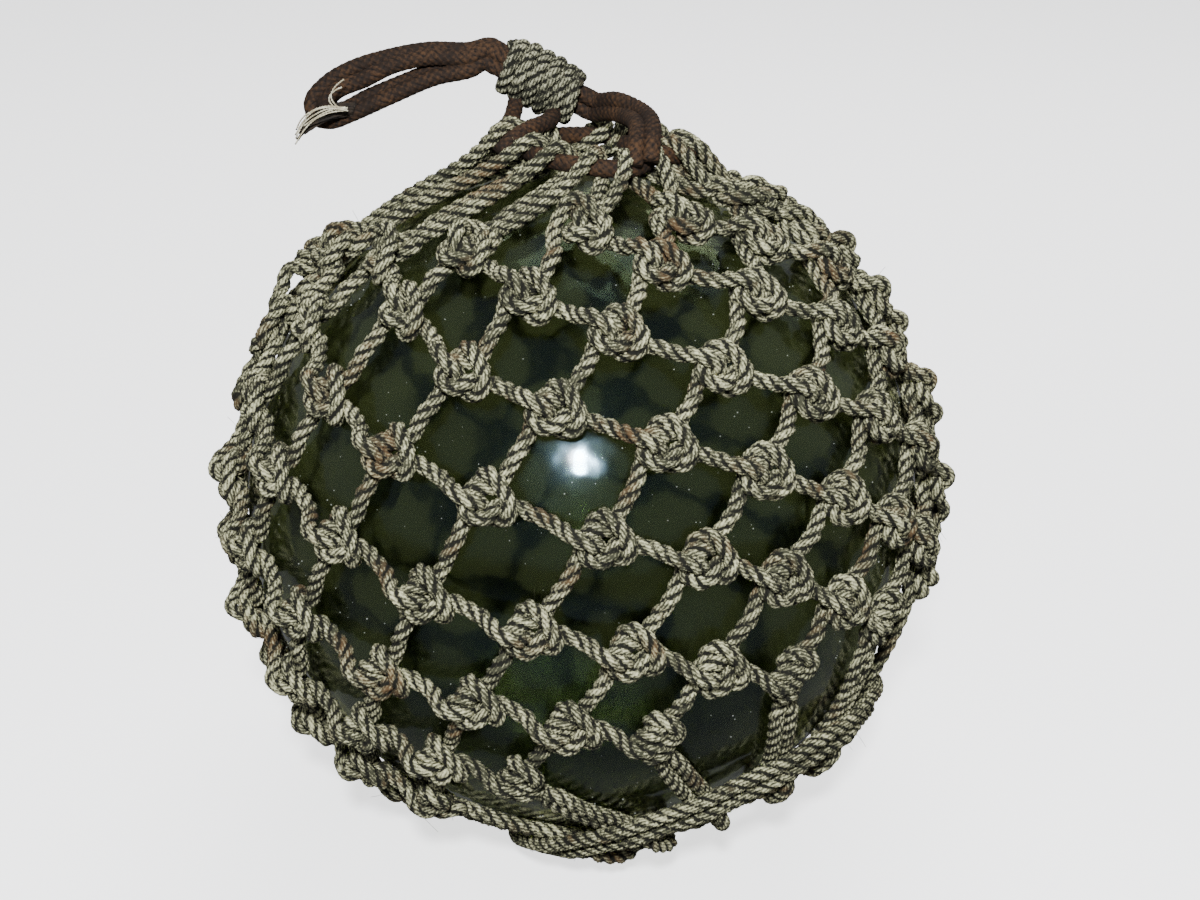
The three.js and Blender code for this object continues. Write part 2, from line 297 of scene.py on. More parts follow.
@dataclass
class NetPlan:
    """The diamond mesh of the net: where its knots lie. Angles are in degrees."""

    meshes_round: int = 14
    first_row: int = -3
    last_row: int = 6
    low_axis: Array = field(default_factory=lambda: vec(-0.452, 0.36, 0.9355))
    top_axis: Array = field(default_factory=lambda: vec(-0.05, 0.182, 1.018))
    axis_fade: float = 77.7
    row_zero: float = 69.86
    row_step: float = 10.262
    row_closing: float = -0.207
    twist: tuple[float, float, float] = (-0.563, 0.726, -0.255)
    slack: float = 1.1
    knot_reach: float = GLASS_R + 7.2
    leg_reach: float = GLASS_R + ROPE_R + 0.3
    end_reach: float = GLASS_R + ROPE_R + 1
    end_leg: float = 16.0
    gather: Array = field(default_factory=lambda: unit(vec(0.075, 0.056, 0.995)))
    gather_angle: float = 13.0
    gather_spread: float = 8.0
    closing: Array = field(default_factory=lambda: unit(vec(0.41, -0.3266, -0.852)))
    closing_angle: float = 24.0
    closing_spread: float = 3.2
    slack_legs: dict[tuple[int, int, int], float] = field(
        default_factory=lambda: {(-3, 21, -1): 9.0, (-3, 21, 1): 10.0, (-2, 22, -1): 5.0, (-3, 19, -1): 4.0}
    )

    @staticmethod
    def uneven(row: int, column: int, salt: int) -> float:
        """A repeatable number between -1 and 1 for a mesh."""
        wave = math.sin(row * 3.17 + column * 1.93 + salt * 5.71) * 97.3
        return 2 * (wave - math.floor(wave)) - 1

    def turn(self, row: int, half_column: int) -> float:
        """Turn of a knot about its row's axis before unevenness."""
        a, b, c = self.twist
        return a + b * row + c * row * row + half_column * 180 / self.meshes_round

    def knot(self, row: int, half_column: int) -> Array:
        """Centre of the knot in a row; half columns have the row's parity."""
        column = half_column % (2 * self.meshes_round)
        theta = self.row_zero + self.row_step * row + self.row_closing * row * row
        theta += self.slack * self.uneven(row, column, 1)
        aside = self.slack * self.uneven(row, column, 2) / math.sin(math.radians(theta))
        phi = self.turn(row, half_column) + aside
        share = math.exp(-((theta / self.axis_fade) ** 2))
        axis = unit(self.low_axis + (self.top_axis - self.low_axis) * share)
        return on_axis(axis, theta, phi) * self.knot_reach

    def gather_end(self, half_column: int, way: int) -> Array:
        """Where a top knot's leg reaches the gather: way is 1 for its right leg, -1 for its left."""
        phi = self.turn(self.first_row, half_column) + way * self.gather_spread
        return on_axis(self.gather, self.gather_angle, phi) * self.end_reach

    def closing_end(self, half_column: int, way: int) -> Array:
        """Where a bottom knot's leg reaches the closing rope."""
        phi = self.turn(self.last_row, half_column) + way * self.closing_spread
        return on_axis(-self.closing, 180 - self.closing_angle, phi) * self.end_reach

    def keys(self) -> list[tuple[int, int]]:
        """Row and half column of every knot."""
        return [
            (row, h)
            for row in range(self.first_row, self.last_row + 1)
            for h in range(abs(row) % 2, 2 * self.meshes_round, 2)
        ]

    def port(self, key: tuple[int, int], port: Port) -> Array:
        """Where a leg is handed over from one knot to the next.

        Args:
            key: row and half column.
            port: which of the knot's legs.

        Returns:
            The point on the leg's centreline.
        """
        row, h = key
        down, across = port.value
        centre = self.knot(row, h)
        next_row = row + down
        if self.first_row <= next_row <= self.last_row:
            middle = (centre + self.knot(next_row, h + across)) / 2
            leg = (row, h, across) if down > 0 else (next_row, h + across, -across)
            leg = (leg[0], leg[1] % (2 * self.meshes_round), leg[2])
            lift = self.slack_legs.get(leg, 0.0)
            return unit(middle) * (max(np.linalg.norm(middle), self.leg_reach) + lift)
        end = self.gather_end(h, across) if down < 0 else self.closing_end(h, across)
        share = self.end_leg / np.linalg.norm(end - centre)
        return unit(centre + (end - centre) * share) * self.leg_reach


@dataclass
class KnotTier:
    """Ties and tightens a sheet bend at every knot of the net."""

    plan: NetPlan
    tightener: Tightener = field(default_factory=Tightener)
    bight_nodes: int = 44
    worker_nodes: int = 64
    seed: int = 7
    unevenness: float = 1.2
    snug: float = 0.88

    def tie(self) -> dict[tuple[int, int], tuple[Array, Array]]:
        """Ties all the knots.

        Returns:
            For each knot its bight, from lower right to upper right, and its working part, from
            upper left to lower left, as points in millimetres from the ball's centre.
        """
        rng = np.random.default_rng(self.seed)
        keys = self.plan.keys()
        count = self.bight_nodes + self.worker_nodes
        nodes = np.zeros((len(keys), count, 3))
        frames = []
        for i, key in enumerate(keys):
            centre = self.plan.knot(*key)
            axes = self._axes(key, centre)
            ports = {p: axes @ (self.plan.port(key, p) - centre) for p in Port}
            bight, worker = self._loose(ports, rng)
            nodes[i, : self.bight_nodes] = bight
            nodes[i, self.bight_nodes:] = worker
            frames.append((centre, axes))
        cuts = (0, self.bight_nodes, count)
        held = np.zeros(count, bool)
        for low, high in zip(cuts[:-1], cuts[1:]):
            held[[low, low + 1, high - 2, high - 1]] = True
        ball = np.tile(vec(0, 0, -self.plan.knot_reach), (len(keys), 1))
        tight = self.tightener.settle(nodes, cuts, held, ball)
        tied = {}
        for key, (centre, axes), points in zip(keys, frames, tight):
            world = centre + points @ axes
            tied[key] = (world[: self.bight_nodes], world[self.bight_nodes:])
        return tied

    def _axes(self, key: tuple[int, int], centre: Array) -> Array:
        """The knot's own right, up and out, as rows."""
        row, h = key
        beside = {p: self.plan.knot(row + p.value[0], h + p.value[1]) for p in Port}
        out = unit(centre)
        right = beside[Port.LOWER_RIGHT] + beside[Port.UPPER_RIGHT]
        right = right - beside[Port.LOWER_LEFT] - beside[Port.UPPER_LEFT]
        right = unit(square(right, out))
        return np.stack([right, np.cross(out, right), out])

    def _loose(self, ports: dict[Port, Array], rng: np.random.Generator) -> tuple[Array, Array]:
        """The two ropes of one knot before it is drawn tight, in the knot's own axes."""
        turned = vec(-1, -1, 1)
        lower_right, upper_right = ports[Port.UPPER_LEFT] * turned, ports[Port.LOWER_LEFT] * turned
        upper_left, lower_left = ports[Port.LOWER_RIGHT] * turned, ports[Port.UPPER_RIGHT] * turned

        def near(x: float, y: float, z: float) -> Array:
            return vec(x, y, z) + rng.normal(0, self.unevenness, 3)

        def drawn(points: list[Array]) -> Array:
            inner = [p * self.snug for p in points[2:-2]]
            return np.array([*points[:2], *inner, *points[-2:]]) * turned

        bight = [
            upper_left, upper_left * 0.62, vec(-11, 6.5, -1), near(2, 6.5, 0), vec(10, 5.5, 0),
            near(14, 0, 1), vec(10, -5.5, 0), near(2, -6.5, 0), vec(-11, -6.5, 1),
            lower_left * 0.62, lower_left,
        ]
        worker = [
            lower_right, lower_right * 0.75, vec(19, -4, 7), vec(10, -1, 9), vec(4.5, -0.5, 0),
            vec(3.5, 2, -14), near(-1, 8, -17), vec(-5, 14.5, -8), vec(-6.5, 14, 4),
            vec(-6.5, 7, 9.5), vec(-6.5, 0, 10), vec(-6.5, -7, 9.5), vec(-7, -14, 3),
            vec(-5, -14, -6), near(-1.5, -7, -9), vec(1.5, 0, -7.5), vec(5, 7, -9.5),
            vec(10, 13, -5), upper_right * 0.72, upper_right,
        ]
        return (
            eased(evenly(drawn(bight), self.bight_nodes), 4),
            eased(evenly(drawn(worker), self.worker_nodes), 4),
        )


# ---- meshes ------------------------------------------------------------------------------------------
def mesh_object(
    name: str, verts: Array, faces: Array, layers: dict[str, Array]
) -> bpy.types.Object:
    """Makes a finished piece from vertices in metres.

    Args:
        name: the piece's name.
        verts: (n, 3) vertices.
        faces: (m, 4) quads, a repeated last corner making a triangle.
        layers: UV layers by name, (m, 4, 2) each.

    Returns:
        The object, smooth shaded, at the origin.
    """
    mesh = bpy.data.meshes.new(name)
    three = faces[:, 2] == faces[:, 3]
    counts = np.where(three, 3, 4)
    keep = np.ones(faces.shape, bool)
    keep[three, 3] = False
    loops = faces[keep]
    mesh.vertices.add(len(verts))
    mesh.vertices.foreach_set("co", np.asarray(verts, np.float32).ravel())
    mesh.loops.add(len(loops))
    mesh.loops.foreach_set("vertex_index", loops.astype(np.int32))
    mesh.polygons.add(len(faces))
    mesh.polygons.foreach_set("loop_start", np.concatenate([[0], np.cumsum(counts)[:-1]]).astype(np.int32))
    mesh.polygons.foreach_set("use_smooth", np.ones(len(faces), bool))
    mesh.update(calc_edges=True)
    for layer, values in layers.items():
        uv = mesh.uv_layers.new(name=layer)
        uv.data.foreach_set("uv", np.asarray(values[keep], np.float32).ravel())
    mesh.validate(clean_customdata=False)
    piece = bpy.data.objects.new(name, mesh)
    bpy.context.scene.collection.objects.link(piece)
    return piece


@dataclass
class Lay:
    """The skin of a rope or cord: its outline turned about its run.

    pitch is the run of one turn, step the distance between rings, both in millimetres. Lobes are
    the strands seen in a section, hollow how deep the grooves between them are.
    """

    radius: float = ROPE_R
    pitch: float = 18.5
    step: float = 1.6
    sides: int = 12
    lobes: int = 3
    hollow: float = 0.26
    crown: float = 1.04
    bump: Optional[Callable[[Array, Array], Array]] = None
    plait_low: float = 0.90
    plait_rise: float = 0.15

    # The bake chart: strips side by side, each a little longer and wider than its share of the skin.
    GIRTH_SLACK = 1.15
    STRIP_SLACK = 1.02
    STRIP_START = 0.002
    STRIP_LOW, STRIP_WIDTH = 0.04, 0.92
    CAPS_AT = 0.999

    def rings(self, line: Array) -> tuple[Array, Array]:
        """Sweeps the outline along a line.

        Args:
            line: points in millimetres.

        Returns:
            (rings, sides, 3) vertices, and the run at each ring.
        """
        total = lengths(line)[-1]
        p = eased(evenly(line, max(4, int(round(total / self.step)) + 1)), 2)
        run = lengths(p)
        tangent = np.gradient(p, axis=0)
        tangent /= np.linalg.norm(tangent, axis=1)[:, None]
        side = np.zeros_like(p)
        start = np.cross(tangent[0], vec(0.3, 0.5, 0.8))
        last = start / np.linalg.norm(start)
        for i, t in enumerate(tangent):
            last = last - t * float(t @ last)
            last = last / math.sqrt(float(last @ last))
            side[i] = last
        other = np.cross(tangent, side)
        k = np.arange(self.sides)
        angle = 2 * math.pi * (k[None, :] / self.sides + run[:, None] / self.pitch)
        if self.bump is not None:
            raised = self.bump(run[:, None], k[None, :] / self.sides)
            reach = self.radius * (self.plait_low + self.plait_rise * raised)
        else:
            wave = 0.5 - 0.5 * np.cos(2 * math.pi * self.lobes * k / self.sides)
            outline = self.radius * self.crown * (1 - self.hollow * wave ** 1.5)
            reach = np.broadcast_to(outline, angle.shape)
        ring = p[:, None] + reach[..., None] * (
            np.cos(angle)[..., None] * side[:, None] + np.sin(angle)[..., None] * other[:, None]
        )
        return ring, run

    def build(self, name: str, lines: Sequence[Array], place: Place, slot: str) -> bpy.types.Object:
        """Makes one piece of one or more ropes, with closed ends.

        Two UV layers go with it: Lay has the run in metres and the share of the way round;
        OFBake is a chart of strips side by side.

        Args:
            name: the piece's name.
            lines: the ropes' centrelines.
            place: where the ball stands.
            slot: not used.

        Returns:
            The object.
        """
        swept = [self.rings(line) for line in lines]
        whole = sum(float(run[-1]) for _, run in swept)
        girth = 2 * math.pi * self.radius * self.GIRTH_SLACK
        strip = math.sqrt(whole * girth)
        rows = max(1, int(math.ceil(strip / girth)))
        strip = whole / rows * self.STRIP_SLACK
        verts, faces, lay, chart, relief = [], [], [], [], []
        base, gone = 0, 0.0
        for ring, run in swept:
            n, m = ring.shape[:2]
            verts.append(ring.reshape(-1, 3))
            i, k = np.meshgrid(np.arange(n - 1), np.arange(m), indexing="ij")
            j = (k + 1) % m
            quad = np.stack([i * m + k, i * m + j, (i + 1) * m + j, (i + 1) * m + k], -1).reshape(-1, 4)
            s0, s1 = run[:-1][i], run[1:][i]
            v0, v1 = k / m, (k + 1) / m
            corners_at = ((s0, v0), (s0, v1), (s1, v1), (s1, v0))
            flat = np.stack([np.stack(pair, -1) for pair in corners_at], 2).reshape(-1, 4, 2)
            row = np.floor((gone + s0.reshape(-1)) / strip)[:, None]
            on_strip = (gone + flat[..., 0] - row * strip) / (strip * self.STRIP_SLACK) + self.STRIP_START
            over_strip = (row + self.STRIP_LOW + self.STRIP_WIDTH * flat[..., 1]) / (rows + 1)
            across = np.stack([on_strip, over_strip], -1)
            caps, cap_lay, cap_chart = [], [], []
            for end, ring_base in ((0, 0), (1, (n - 1) * m)):
                verts.append(ring[0 if end == 0 else -1].mean(0)[None])
                tip = n * m + end
                for q in range(m):
                    a, b = ring_base + q, ring_base + (q + 1) % m
                    caps.append((b, a, tip, tip) if end == 0 else (a, b, tip, tip))
                    s = run[0 if end == 0 else -1]
                    cap_lay.append([(s, q / m)] * 4)
                    cap_chart.append([(self.CAPS_AT, self.CAPS_AT)] * 4)
            faces.append(np.concatenate([quad, np.array(caps)]) + base)
            lay.append(np.concatenate([flat * vec(MM, 1.0), np.array(cap_lay) * vec(MM, 1.0)]))
            chart.append(np.concatenate([across, np.array(cap_chart)]))
            if self.bump is not None:
                raised = self.bump(run[:, None], np.arange(m)[None, :] / m)
                raised = np.append(raised.ravel(), [0.5, 0.5])
                relief.append(np.repeat(raised[np.concatenate([quad, np.array(caps)])][..., None], 2, 2))
            base += n * m + 2
            gone += float(run[-1])
        layers = {"Lay": np.concatenate(lay), "OFBake": np.concatenate(chart)}
        if relief:
            layers["Relief"] = np.concatenate(relief)
        points = place.metres(np.concatenate(verts))
        return mesh_object(name, points, np.concatenate(faces), layers)


# ---- shader graphs -------------------------------------------------------------------------------------
class Wire:
    """A shader socket that Python's operators work on."""

    def __init__(self, graph: "Graph", socket: bpy.types.NodeSocket) -> None:
        """Keeps the graph and the socket."""
        self.graph, self.socket = graph, socket

    def _math(self, kind: str, *values: object) -> "Wire":
        """One Math node on this wire and other values."""
        return self.graph.node("ShaderNodeMath", {"operation": kind}, dict(enumerate(values)))

    def __add__(self, other: object) -> "Wire":
        """Sum."""
        return self._math("ADD", self, other)

    __radd__ = __add__

    def __sub__(self, other: object) -> "Wire":
        """Difference."""
        return self._math("SUBTRACT", self, other)

    def __rsub__(self, other: object) -> "Wire":
        """Difference the other way round."""
        return self._math("SUBTRACT", other, self)

    def __mul__(self, other: object) -> "Wire":
        """Product."""
        return self._math("MULTIPLY", self, other)

    __rmul__ = __mul__

    def __truediv__(self, other: object) -> "Wire":
        """Quotient."""
        return self._math("DIVIDE", self, other)

    def __rtruediv__(self, other: object) -> "Wire":
        """Quotient the other way round."""
        return self._math("DIVIDE", other, self)

    def clamped(self) -> "Wire":
        """The value kept between 0 and 1."""
        return self.graph.node("ShaderNodeClamp", {}, {"Value": self})

    def cosine(self) -> "Wire":
        """Its cosine."""
        return self._math("COSINE", self)

    def step_between(self, low: float, high: float) -> "Wire":
        """A smooth step from 0 at low to 1 at high."""
        settings = {"interpolation_type": "SMOOTHSTEP"}
        inputs = {"Value": self, "From Min": low, "From Max": high}
        return self.graph.node("ShaderNodeMapRange", settings, inputs)


class Graph:
    """The node graph of one material."""

    def __init__(self, name: str) -> None:
        """Makes the material with a Principled shader.

        Args:
            name: the material's name.
        """
        self.material = bpy.data.materials.new(name)
        self.material.use_nodes = True
        self.tree = self.material.node_tree
        self.shader = next(n for n in self.tree.nodes if n.type == "BSDF_PRINCIPLED")

    def node(
        self, kind: str, settings: dict[str, object], inputs: dict[object, object], output: object = 0
    ) -> Wire:
        """Adds a node.

        Args:
            kind: the node's type.
            settings: its properties, set first.
            inputs: values or wires by socket name or number.
            output: name or number of the output that is wanted.

        Returns:
            The output's wire.
        """
        node = self.tree.nodes.new(kind)
        for name, value in settings.items():
            setattr(node, name, value)
        for name, value in inputs.items():
            self.plug(node.inputs[name], value)
        return Wire(self, node.outputs[output])

    def plug(self, socket: bpy.types.NodeSocket, value: object) -> None:
        """Links a wire to a socket, or sets its plain value."""
        if isinstance(value, Wire):
            self.tree.links.new(value.socket, socket)
        elif isinstance(value, tuple) and len(value) == 3 and socket.type == "RGBA":
            socket.default_value = (*value, 1.0)
        else:
            socket.default_value = value

    def set(self, **values: object) -> None:
        """Sets the shader's sockets; words of a name are joined by an underscore."""
        for name, value in values.items():
            self.plug(self.shader.inputs[name.replace("_", " ")], value)

    def mix(self, share: object, a: object, b: object) -> Wire:
        """A colour between a and b; the numbers are the colour mix's own sockets."""
        return self.node("ShaderNodeMix", {"data_type": "RGBA"}, {0: share, 6: a, 7: b}, 2)

    def object_coordinates(self) -> Wire:
        """The place on the piece."""
        return self.node("ShaderNodeTexCoord", {}, {}, "Object")

    def noise(self, scale: float, detail: float = 2.0, rough: float = 0.5) -> Wire:
        """Noise between 0 and 1 at a scale per metre."""
        inputs = {"Vector": self.object_coordinates(), "Scale": scale, "Detail": detail, "Roughness": rough}
        return self.node("ShaderNodeTexNoise", {}, inputs)

    def lay(self) -> tuple[Wire, Wire]:
        """The run in metres and the share of the way round."""
        uv = self.node("ShaderNodeUVMap", {"uv_map": "Lay"}, {})
        run, round_ = (self.node("ShaderNodeSeparateXYZ", {}, {0: uv}, k) for k in range(2))
        return run, round_

    def relief(self) -> Wire:
        """The height of a woven skin between 0 and 1."""
        uv = self.node("ShaderNodeUVMap", {"uv_map": "Relief"}, {})
        return self.node("ShaderNodeSeparateXYZ", {}, {0: uv}, 0)

    def bump(self, height: Wire, distance: float, strength: float) -> Wire:
        """A normal from a height."""
        inputs = {"Height": height, "Distance": distance, "Strength": strength}
        return self.node("ShaderNodeBump", {}, inputs)


@dataclass(frozen=True)
class RopeFinish:
    """Weathered three-strand rope: pale crowns, grooves between the strands darkened with painted shade, yarns
    along the rope, rusty tinges.

    The scales are those of the noise, per metre.
    """

    name: str
    crown: Colour = (0.50, 0.49, 0.295)
    crown_dull: Colour = (0.043, 0.044, 0.026)
    # Painted shade: the near-black colour laid into the grooves between the strands.
    shaded_groove: Colour = (0.007, 0.007, 0.0045)
    rust: Colour = (0.115, 0.050, 0.016)
    rust_share: float = 0.5
    pitch: float = 18.5 * MM
    yarns: float = 15.0
    fine_scale: float = 620.0
    coarse_scale: float = 75.0
    rust_scale: float = 38.0
    roughness: float = 0.92

    def make(self) -> bpy.types.Material:
        """Builds the material."""
        g = Graph(self.name)
        run, round_ = g.lay()
        shaded_groove = 0.5 - 0.5 * (round_ * (6 * math.pi)).cosine()
        fine = g.noise(self.fine_scale, 2.0, 0.65)
        coarse = g.noise(self.coarse_scale, 3.0, 0.6)
        along_yarn = (round_ + run / self.pitch) * (2 * math.pi * self.yarns)
        yarn = 0.5 + 0.5 * (along_yarn + fine * 5.0).cosine()
        tone = (yarn * 0.75 + (fine - 0.5) * 2.8 + (coarse - 0.5) * 2.4 + 0.34).clamped()
        colour = g.mix(tone, self.crown, self.crown_dull)
        rusty = g.noise(self.rust_scale, 3.0, 0.65).step_between(0.54, 0.70) * self.rust_share
        colour = g.mix(rusty, colour, self.rust)
        # Painted shade: the grooves between the strands are darkened towards the shaded-groove colour.
        dark = (shaded_groove + (fine - 0.5) * 1.3).step_between(0.36, 0.98)
        colour = g.mix(dark, colour, self.shaded_groove)
        height = (1.0 - shaded_groove) * 0.5 + yarn * 0.30 + fine * 0.5
        g.set(Base_Color=colour, Roughness=self.roughness, Normal=g.bump(height, 0.0008, 0.9))
        g.set(Specular_IOR_Level=0.25)
        return g.material


@dataclass(frozen=True)
class CordFinish:
    """Tarred brown braid: painted shade between the plaits, and on their crowns a paler colour that is partly
    wear and partly painted highlight.
    """

    name: str
    plait: Colour = (0.0115, 0.0056, 0.0026)
    # Paler crown colour: partly wear, partly painted highlight.
    wear_and_highlight: Colour = (0.066, 0.031, 0.0115)
    # Painted shade: the near-black colour laid between the plaits.
    between: Colour = (0.0012, 0.0007, 0.0005)
    fine_scale: float = 900.0
    coarse_scale: float = 90.0
    roughness: float = 0.85

    def make(self) -> bpy.types.Material:
        """Builds the material."""
        g = Graph(self.name)
        height = g.relief()
        fine = g.noise(self.fine_scale, 2.0, 0.6)
        coarse = g.noise(self.coarse_scale, 2.0)
        # The crowns take the paler colour, partly wear and partly painted highlight, mottled by noise.
        wear_and_highlight = (height * 0.9 + (fine - 0.5) * 1.7 + (coarse - 0.5) * 1.6 - 0.42).clamped()
        colour = g.mix(wear_and_highlight, self.plait, self.wear_and_highlight)
        # Painted shade: the low places between the plaits are darkened.
        colour = g.mix((height + (fine - 0.5) * 0.3).step_between(0.55, 0.10), colour, self.between)
        g.set(Normal=g.bump(height * 0.5 + fine * 0.5, 0.0006, 0.8))
        g.set(Base_Color=colour, Roughness=self.roughness, Specular_IOR_Level=0.3)
        return g.material


@dataclass(frozen=True)
class PlainFinish:
    """A colour with fine mottling."""

    name: str
    pale: Colour
    dull: Colour
    roughness: float = 0.8
    scale: float = 600.0

    def make(self) -> bpy.types.Material:
        """Builds the material."""
        g = Graph(self.name)
        mottle = g.noise(self.scale, 2.0).step_between(0.35, 0.65)
        g.set(Base_Color=g.mix(mottle, self.pale, self.dull), Roughness=self.roughness)
        return g.material


@dataclass(frozen=True)
class GlassFinish:
    """Sea-worn green bottle glass, see-through by plain values, with a bluish sheen and a thin film."""

    name: str
    tint: Colour = (0.45, 0.51, 0.28)
    sheen: Colour = (0.50, 0.80, 1.0)
    roughness: float = 0.11
    ior: float = 1.36
    film: float = 0.10
    film_roughness: float = 0.09
    ripple_scale: float = 38.0

    def make(self) -> bpy.types.Material:
        """Builds the material."""
        g = Graph(self.name)
        g.set(Base_Color=self.tint, Roughness=self.roughness, IOR=self.ior, Transmission_Weight=1.0)
        g.set(Coat_Weight=self.film, Coat_Roughness=self.film_roughness, Specular_Tint=self.sheen)
        g.set(Normal=g.bump(g.noise(self.ripple_scale, 2.0, 0.5), 0.004, 0.25))
        return g.material


@dataclass(frozen=True)
class FloorFinish:
    """Plain matt white, dimmer where it is only mirrored in the glass or lights the ropes."""

    name: str
    colour: Colour = (0.93, 0.93, 0.94)
    bounce: Colour = (0.10, 0.10, 0.105)
    glow: float = 1.8

    def make(self) -> bpy.types.Material:
        """Builds the material."""
        g = Graph(self.name)
        seen = g.node("ShaderNodeLightPath", {}, {}, "Is Camera Ray")
        black = (0.0, 0.0, 0.0)
        g.set(Base_Color=g.mix(seen, self.bounce, self.colour), Roughness=0.95)
        g.set(Emission_Color=g.mix(seen, black, self.colour), Emission_Strength=self.glow)
        return g.material


def dress(piece: bpy.types.Object, material: bpy.types.Material) -> None:
    """Gives a piece its one material."""
    piece.data.materials.clear()
    piece.data.materials.append(material)


def finish_piece(piece: bpy.types.Object, material: bpy.types.Material, *nodes: str) -> None:
    """Dresses a piece, rides it on the float's one body and hides the CAD nodes that it stands for.

    Args:
        piece: the piece.
        material: its one material.
        nodes: names of the CAD nodes, if there are any.
    """
    dress(piece, material)
    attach(piece, "root")
    if nodes:
        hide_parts(*nodes)


# ---- the float's pieces ----------------------------------------------------------------------------------
def deselect() -> None:
    """Leaves edit mode and deselects everything."""
    if bpy.context.object is not None and bpy.context.object.mode != "OBJECT":
        bpy.ops.object.mode_set(mode="OBJECT")
    bpy.ops.object.select_all(action="DESELECT")


@dataclass
class GlassBall:
    """The blown ball: a hollow wall with tiny seeds and dust on it."""

    place: Place
    outer: float = GLASS_R
    wall: float = 5.5
    segments: int = 128
    rings: int = 64
    seeds: int = 1500
    seed_size: tuple[float, float] = (0.10, 0.34)

    def build(self) -> list[bpy.types.Object]:
        """Makes the glass wall and its seeds."""
        deselect()
        bpy.ops.mesh.primitive_uv_sphere_add(
            segments=self.segments, ring_count=self.rings, radius=self.outer * MM, location=self.place.centre
        )
        glass = bpy.context.object
        glass.name = glass.data.name = "glass_wall"
        bpy.ops.object.mode_set(mode="EDIT")
        bpy.ops.mesh.select_all(action="SELECT")
        bpy.ops.mesh.normals_make_consistent(inside=False)
        bpy.ops.object.mode_set(mode="OBJECT")
        solid = glass.modifiers.new("wall", "SOLIDIFY")
        solid.thickness, solid.offset = self.wall * MM, -1.0
        bpy.ops.object.modifier_apply(modifier=solid.name)
        bpy.ops.object.transform_apply(location=True, rotation=True, scale=True)
        bpy.ops.object.shade_smooth()
        finish_piece(glass, GlassFinish("sea_glass").make(), "glass_ball")
        return [glass, self._seeds()]

    def _seeds(self) -> bpy.types.Object:
        """Pale specks that stand on the glass, thicker in drifts."""
        rng = np.random.default_rng(23)
        ways = rng.normal(size=(self.seeds * 3, 3))
        ways /= np.linalg.norm(ways, axis=1)[:, None]
        drift = np.sin(ways[:, 0] * 9 + 2 * np.sin(ways[:, 2] * 7)) + np.sin(ways[:, 1] * 8 + ways[:, 2] * 5)
        ways = ways[drift + rng.normal(0, 0.9, len(ways)) > 0.1][: self.seeds]
        verts, faces = [], []
        corner = np.array([(1, 0, 0), (0, 1, 0), (-1, 0, 0), (0, -1, 0), (0, 0, 1), (0, 0, -1)], float)
        tris = [(k, (k + 1) % 4, 4) for k in range(4)] + [((k + 1) % 4, k, 5) for k in range(4)]
        for i, way in enumerate(ways):
            size = rng.uniform(*self.seed_size)
            verts.append(way * (self.outer + size * 0.3) + corner * size)
            faces += [(a + 6 * i, b + 6 * i, c + 6 * i, c + 6 * i) for a, b, c in tris]
        points = self.place.metres(np.concatenate(verts))
        piece = mesh_object("glass_seeds", points, np.array(faces), {})
        finish_piece(piece, PlainFinish("seed_glints", (0.55, 0.58, 0.52), (0.30, 0.32, 0.28), 0.5).make())
        return piece


